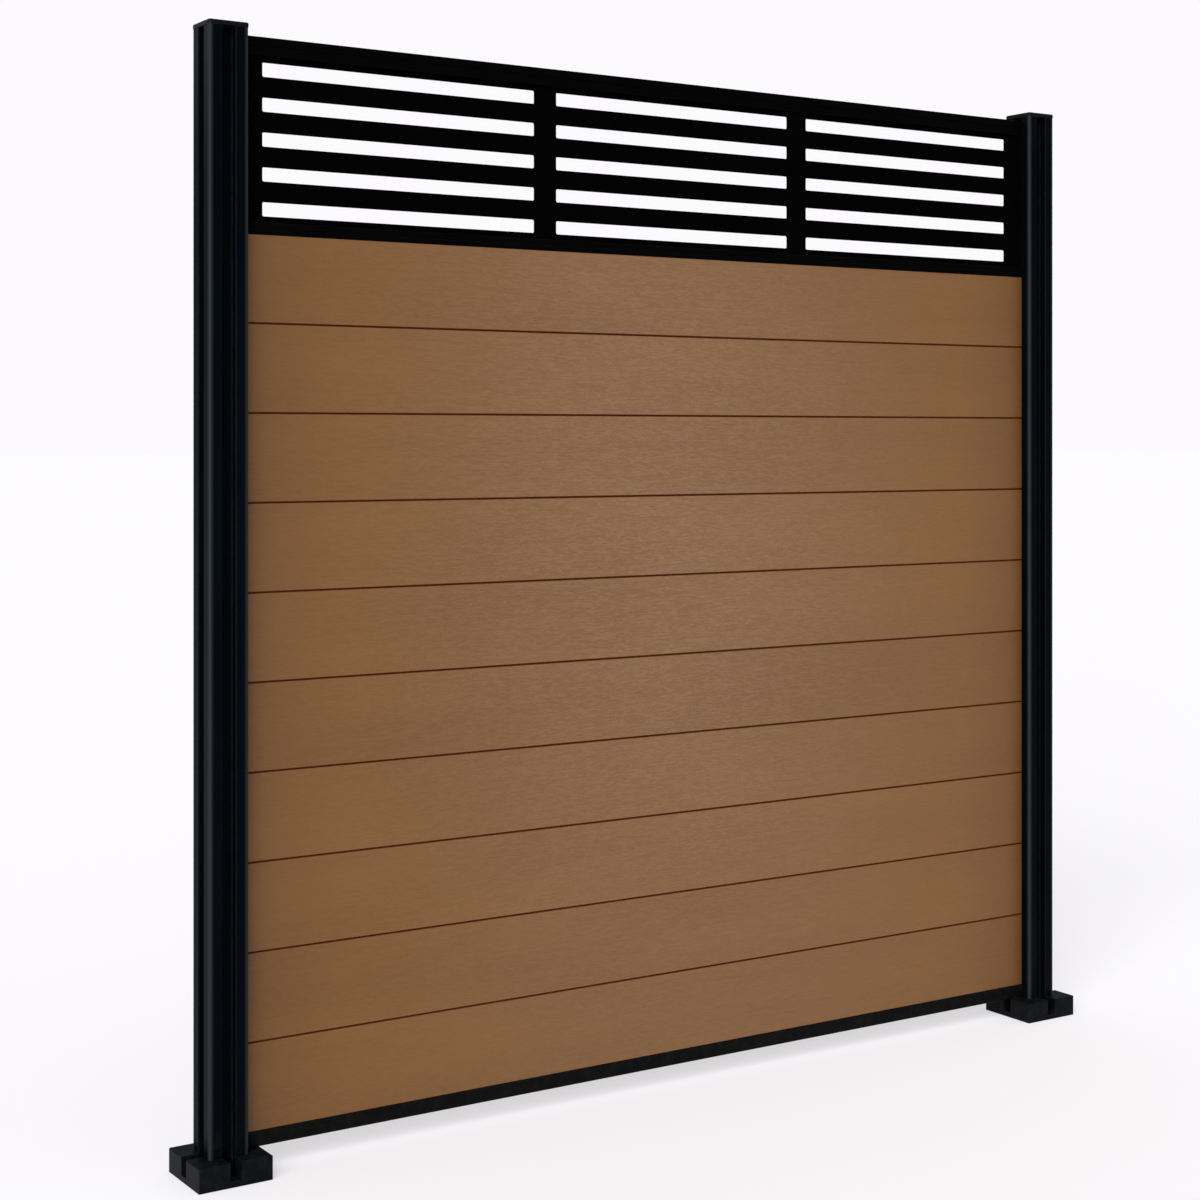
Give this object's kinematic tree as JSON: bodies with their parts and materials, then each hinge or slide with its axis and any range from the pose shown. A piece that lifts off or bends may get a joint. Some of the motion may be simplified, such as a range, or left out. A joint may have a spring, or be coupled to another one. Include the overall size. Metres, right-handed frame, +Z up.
{
  "type": "composite fence panel",
  "caption": "Fence bay of horizontal tongue-and-groove composite boards under a slotted metal screen, held between channelled square posts on notched bolt-down bases.",
  "frame": {"origin": "on the ground, midway between the posts, in the middle of the panel's thickness", "axes": "+X along the fence to the right, -Y out of the front face, +Z up"},
  "size_m": [1.972, 0.13, 1.9095],
  "materials": {
    "coated_aluminium": "satin anthracite-black powder coat",
    "cast_base": "fine-textured black powder coat on a casting",
    "cap_plastic": "moulded black plastic, lightly grained",
    "composite_board": "brushed wood-plastic composite, warm brown",
    "screen_sheet": "matt black powder coat on a laser-cut sheet",
    "screw_steel": "black-coated stainless steel"
  },
  "bodies": {
    "fence": {"board_01": "composite_board", "board_02": "composite_board", "board_03": "composite_board", "board_04": "composite_board", "board_05": "composite_board", "board_06": "composite_board", "board_07": "composite_board", "board_08": "composite_board", "board_09": "composite_board", "board_10": "composite_board", "bottom_rail": "coated_aluminium", "left_base": "cast_base", "left_base_screws": "screw_steel", "left_post": "coated_aluminium", "left_screen_edge": "coated_aluminium", "right_base": "cast_base", "right_base_screws": "screw_steel", "right_post": "coated_aluminium", "right_screen_edge": "coated_aluminium", "screen_joining_rail": "coated_aluminium", "screen_panel": "screen_sheet", "top_rail": "coated_aluminium"},
    "left_cap": {"left_cap": "cap_plastic"},
    "right_cap": {"right_cap": "cap_plastic"}
  },
  "joints": [
    {"name": "left_cap_lift", "type": "slide", "parent": "fence", "child": "left_cap", "axis": [0, 0, 1], "range_m": [0, 0.04]},
    {"name": "right_cap_lift", "type": "slide", "parent": "fence", "child": "right_cap", "axis": [0, 0, 1], "range_m": [0, 0.04]}
  ]
}
